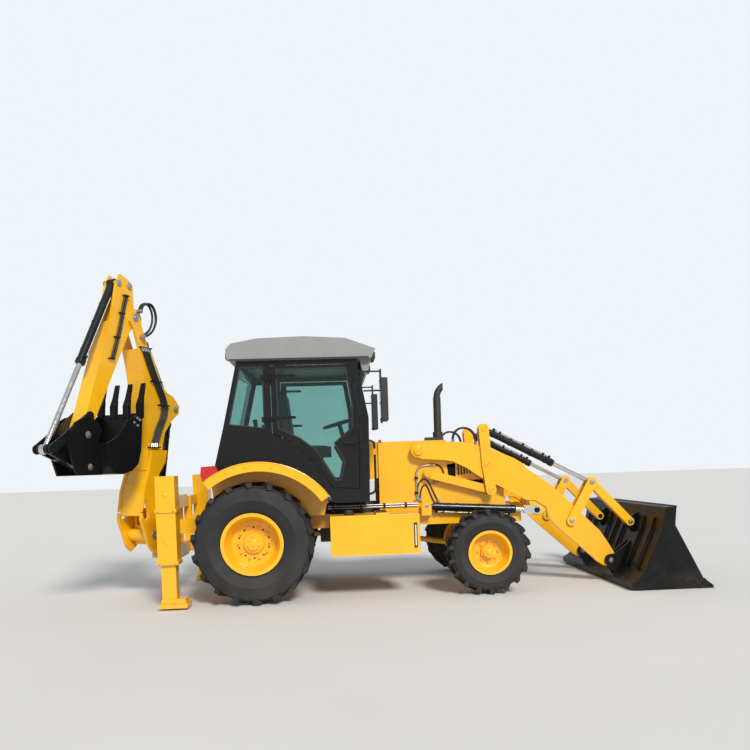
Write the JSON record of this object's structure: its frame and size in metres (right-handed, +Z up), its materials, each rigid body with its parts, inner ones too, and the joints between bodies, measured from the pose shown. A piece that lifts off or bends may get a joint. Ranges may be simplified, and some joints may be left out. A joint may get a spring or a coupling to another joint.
{
  "type": "backhoe loader",
  "caption": "Two-axle backhoe loader with a front bucket on lift arms, a glazed cab, drop stabilizers and a side-shifting rear digging arm carried folded and swung to the right",
  "frame": {"origin": "The point on the ground under the middle of the rear axle", "axes": "+X forward along the machine, +Y to its left, +Z up"},
  "size_m": [6.996, 2.7363, 3.64],
  "materials": {
    "yellow_paint": "gloss",
    "black_paint": "satin",
    "dark_plastic": "matte",
    "grey_roof": "satin",
    "rod_steel": "polished",
    "window_glass": "clear",
    "red_lens": "gloss",
    "tyre_rubber": "matte",
    "pin_steel": "satin"
  },
  "bodies": {
    "chassis": {"main_frame": "yellow_paint", "cowl": "yellow_paint", "engine": "black_paint", "exhaust": "black_paint", "front_axle": "yellow_paint", "rear_axle": "yellow_paint", "side_boxes": "yellow_paint", "cab_frame": "black_paint", "cab_roof": "grey_roof", "cab_glass": "window_glass", "cab_interior": "dark_plastic", "fenders": "yellow_paint", "lamps": "red_lens", "rear_frame": "yellow_paint"},
    "hood": {"hood": "yellow_paint"},
    "door_right": {"door_right": "black_paint", "door_right_glass": "window_glass"},
    "door_left": {"door_left": "black_paint", "door_left_glass": "window_glass"},
    "wheel_rear_right": {"tyre_rear_right": "tyre_rubber", "rim_rear_right": "yellow_paint"},
    "wheel_rear_left": {"tyre_rear_left": "tyre_rubber", "rim_rear_left": "yellow_paint"},
    "wheel_front_right": {"tyre_front_right": "tyre_rubber", "rim_front_right": "yellow_paint"},
    "wheel_front_left": {"tyre_front_left": "tyre_rubber", "rim_front_left": "yellow_paint"},
    "knuckle_right": {"knuckle_right": "yellow_paint"},
    "knuckle_left": {"knuckle_left": "yellow_paint"},
    "loader_arms": {"loader_arms": "yellow_paint"},
    "lift_tubes": {"lift_tubes": "black_paint"},
    "lift_rods": {"lift_rods": "rod_steel"},
    "level_links": {"level_links": "yellow_paint"},
    "lever_plates": {"lever_plates": "yellow_paint"},
    "tilt_tubes": {"tilt_tubes": "black_paint"},
    "tilt_rods": {"tilt_rods": "rod_steel"},
    "rocker_pins": {"rocker_pins": "pin_steel"},
    "rockers": {"rockers": "yellow_paint"},
    "link_pins": {"link_pins": "pin_steel"},
    "tilt_links": {"tilt_links": "yellow_paint"},
    "bucket_pins": {"bucket_pins": "pin_steel"},
    "bucket": {"bucket": "black_paint"},
    "carriage": {"carriage": "yellow_paint"},
    "swing_post": {"swing_post": "yellow_paint"},
    "boom": {"boom": "yellow_paint"},
    "boom_tube": {"boom_tube": "black_paint"},
    "boom_rod": {"boom_rod": "rod_steel"},
    "dipper": {"dipper": "yellow_paint"},
    "dipper_tube": {"dipper_tube": "black_paint"},
    "dipper_rod": {"dipper_rod": "rod_steel"},
    "bucket_tube": {"bucket_tube": "black_paint"},
    "bucket_rod": {"bucket_rod": "rod_steel"},
    "tip_levers": {"tip_levers": "black_paint"},
    "tip_link": {"tip_link": "black_paint"},
    "hoe_bucket": {"hoe_bucket": "black_paint"},
    "stab_leg_right": {"stab_leg_right": "yellow_paint"},
    "stab_leg_left": {"stab_leg_left": "yellow_paint"}
  },
  "joints": [
    {"name": "wheel_rear_right_turn", "type": "hinge", "parent": "chassis", "child": "wheel_rear_right", "pos_m": [0, -0.872, 0.655], "axis": [0, 1, 0], "continuous": true},
    {"name": "wheel_rear_left_turn", "type": "hinge", "parent": "chassis", "child": "wheel_rear_left", "pos_m": [0, 0.872, 0.655], "axis": [0, 1, 0], "continuous": true},
    {"name": "steer_left", "type": "hinge", "parent": "chassis", "child": "knuckle_left", "pos_m": [2.54, 0.62, 0.46], "axis": [0, 0, 1], "range_deg": [-35, 35]},
    {"name": "steer_right", "type": "hinge", "parent": "chassis", "child": "knuckle_right", "pos_m": [2.54, -0.62, 0.46], "axis": [0, 0, 1], "range_deg": [-35.5, 35.5]},
    {"name": "wheel_front_right_turn", "type": "hinge", "parent": "knuckle_right", "child": "wheel_front_right", "pos_m": [2.54, -0.868, 0.46], "axis": [0, 1, 0], "continuous": true},
    {"name": "wheel_front_left_turn", "type": "hinge", "parent": "knuckle_left", "child": "wheel_front_left", "pos_m": [2.54, 0.868, 0.46], "axis": [0, 1, 0], "continuous": true},
    {"name": "hood_tilt", "type": "hinge", "parent": "chassis", "child": "hood", "pos_m": [2.84, 0, 1.01], "axis": [0, 1, 0], "range_deg": [0, 60]},
    {"name": "door_right_swing", "type": "hinge", "parent": "chassis", "child": "door_right", "pos_m": [0.225, -0.825, 2.2], "axis": [0, 0, -1], "range_deg": [0, 75]},
    {"name": "door_left_swing", "type": "hinge", "parent": "chassis", "child": "door_left", "pos_m": [0.225, 0.825, 2.2], "axis": [0, 0, 1], "range_deg": [0, 75]},
    {"name": "loader_lift", "type": "hinge", "parent": "chassis", "child": "loader_arms", "pos_m": [1.853, 0, 1.602], "axis": [0, -1, 0], "range_deg": [0, 77]},
    {"name": "lift_tube_swing", "type": "hinge", "parent": "chassis", "child": "lift_tubes", "pos_m": [1.929, 0, 0.955], "axis": [0, -1, 0], "range_deg": [-0.5, 66.74]},
    {"name": "lift_rod_slide", "type": "slide", "parent": "lift_tubes", "child": "lift_rods", "axis": [0.9978, 0, -0.0669], "range_m": [-0.002, 0.7542]},
    {"name": "level_link_swing", "type": "hinge", "parent": "chassis", "child": "level_links", "pos_m": [1.956, 0, 1.326], "axis": [0, -1, 0], "range_deg": [-0.5, 84.7]},
    {"name": "lever_plate_turn", "type": "hinge", "parent": "loader_arms", "child": "lever_plates", "pos_m": [2.638, 0, 1.417], "axis": [0, -1, 0], "range_deg": [-80.71, 0.5]},
    {"name": "tilt_tube_swing", "type": "hinge", "parent": "lever_plates", "child": "tilt_tubes", "pos_m": [2.611, 0, 1.821], "axis": [0, -1, 0], "range_deg": [-0.5, 67.29]},
    {"name": "tilt_rod_slide", "type": "slide", "parent": "tilt_tubes", "child": "tilt_rods", "axis": [0.8865, 0, -0.4627], "range_m": [-0.322, 0.362]},
    {"name": "rocker_pin_turn", "type": "hinge", "parent": "loader_arms", "child": "rocker_pins", "pos_m": [3.614, 0, 0.729], "axis": [0, -1, 0], "range_deg": [-77.5, 0.5]},
    {"name": "rocker_swing", "type": "hinge", "parent": "rocker_pins", "child": "rockers", "pos_m": [3.614, 0, 0.729], "axis": [0, -1, 0], "range_deg": [-45.5, 40.5]},
    {"name": "link_pin_turn", "type": "hinge", "parent": "rockers", "child": "link_pins", "pos_m": [3.862, 0, 1.168], "axis": [0, -1, 0], "range_deg": [-40.5, 45.5]},
    {"name": "tilt_link_swing", "type": "hinge", "parent": "link_pins", "child": "tilt_links", "pos_m": [3.862, 0, 1.168], "axis": [0, -1, 0], "range_deg": [-0.5, 77.5]},
    {"name": "bucket_pin_turn", "type": "hinge", "parent": "loader_arms", "child": "bucket_pins", "pos_m": [4.064, 0, 0.254], "axis": [0, -1, 0], "range_deg": [-77.5, 0.5]},
    {"name": "bucket_tilt", "type": "hinge", "parent": "bucket_pins", "child": "bucket", "pos_m": [4.064, 0, 0.254], "axis": [0, -1, 0], "range_deg": [-45, 40]},
    {"name": "carriage_slide", "type": "slide", "parent": "chassis", "child": "carriage", "axis": [0, -1, 0], "range_m": [-0.45, 0.45]},
    {"name": "backhoe_swing", "type": "hinge", "parent": "carriage", "child": "swing_post", "pos_m": [-1.23, 0, 0.7], "axis": [0, 0, 1], "range_deg": [-155, 25]},
    {"name": "boom_lower", "type": "hinge", "parent": "swing_post", "child": "boom", "pos_m": [-1.35256, -0.26283, 0.731], "axis": [0.9063, -0.4226, 0], "range_deg": [0, 120]},
    {"name": "boom_tube_swing", "type": "hinge", "parent": "swing_post", "child": "boom_tube", "pos_m": [-1.22155, 0.01813, 1.085], "axis": [0.9063, -0.4226, 0], "range_deg": [-0.5, 120.89]},
    {"name": "boom_rod_slide", "type": "slide", "parent": "boom_tube", "child": "boom_rod", "axis": [0.0889, 0.1907, 0.9776], "range_m": [-0.002, 0.817]},
    {"name": "dipper_open", "type": "hinge", "parent": "boom", "child": "dipper", "pos_m": [-1.39271, -0.34893, 3.19], "axis": [-0.9063, 0.4226, 0], "range_deg": [0, 125]},
    {"name": "dipper_tube_swing", "type": "hinge", "parent": "boom", "child": "dipper_tube", "pos_m": [-1.12012, 0.23564, 2.2], "axis": [-0.9063, 0.4226, 0], "range_deg": [-0.5, 5.63]},
    {"name": "dipper_rod_slide", "type": "slide", "parent": "dipper_tube", "child": "dipper_rod", "axis": [-0.1939, -0.4159, 0.8885], "range_m": [-0.6084, 0.002]},
    {"name": "hoe_bucket_open", "type": "hinge", "parent": "dipper", "child": "hoe_bucket", "pos_m": [-1.73714, -1.08757, 1.85], "axis": [-0.9063, 0.4226, 0], "range_deg": [0, 150]},
    {"name": "bucket_tube_swing", "type": "hinge", "parent": "dipper", "child": "bucket_tube", "pos_m": [-1.4823, -0.54107, 3.537], "axis": [-0.9063, 0.4226, 0], "range_deg": [-0.5, 11.23]},
    {"name": "bucket_rod_slide", "type": "slide", "parent": "bucket_tube", "child": "bucket_rod", "axis": [-0.2089, -0.448, -0.8693], "range_m": [-0.9039, 0.002]},
    {"name": "tip_lever_turn", "type": "hinge", "parent": "dipper", "child": "tip_levers", "pos_m": [-1.70545, -1.0196, 2.05], "axis": [-0.9063, 0.4226, 0], "range_deg": [-0.5, 100.3]},
    {"name": "tip_link_turn", "type": "hinge", "parent": "tip_levers", "child": "tip_link", "pos_m": [-1.92309, -1.48635, 1.703], "axis": [-0.9063, 0.4226, 0], "range_deg": [-33.09, 0.5]},
    {"name": "stabilizer_right_lift", "type": "slide", "parent": "chassis", "child": "stab_leg_right", "axis": [0, 0, 1], "range_m": [-0.15, 0.33]},
    {"name": "stabilizer_left_lift", "type": "slide", "parent": "chassis", "child": "stab_leg_left", "axis": [0, 0, 1], "range_m": [-0.15, 0.33]}
  ],
  "couplings": [
    {"joint": "steer_right", "follows": "steer_left", "ratio": 1},
    {"joint": "lift_tube_swing", "follows": "loader_lift", "ratio": 0.86026},
    {"joint": "lift_rod_slide", "follows": "loader_lift", "m_per_rad": 0.55971},
    {"joint": "level_link_swing", "follows": "loader_lift", "ratio": 1.0935},
    {"joint": "lever_plate_turn", "follows": "loader_lift", "ratio": -1.0417},
    {"joint": "tilt_tube_swing", "follows": "loader_lift", "ratio": 0.86738},
    {"joint": "tilt_rod_slide", "follows": "bucket_tilt", "m_per_rad": -0.45837},
    {"joint": "rocker_pin_turn", "follows": "loader_lift", "ratio": -1},
    {"joint": "rocker_swing", "follows": "bucket_tilt", "ratio": 1},
    {"joint": "link_pin_turn", "follows": "bucket_tilt", "ratio": -1},
    {"joint": "tilt_link_swing", "follows": "loader_lift", "ratio": 1},
    {"joint": "bucket_pin_turn", "follows": "loader_lift", "ratio": -1},
    {"joint": "boom_tube_swing", "follows": "boom_lower", "ratio": 1.0033},
    {"joint": "boom_rod_slide", "follows": "boom_lower", "m_per_rad": 0.38911},
    {"joint": "dipper_tube_swing", "follows": "dipper_open", "ratio": 0.041035},
    {"joint": "dipper_rod_slide", "follows": "dipper_open", "m_per_rad": -0.27797},
    {"joint": "bucket_tube_swing", "follows": "hoe_bucket_open", "ratio": 0.07156},
    {"joint": "bucket_rod_slide", "follows": "hoe_bucket_open", "m_per_rad": -0.34448},
    {"joint": "tip_lever_turn", "follows": "hoe_bucket_open", "ratio": 0.66533},
    {"joint": "tip_link_turn", "follows": "hoe_bucket_open", "ratio": -0.21729}
  ]
}
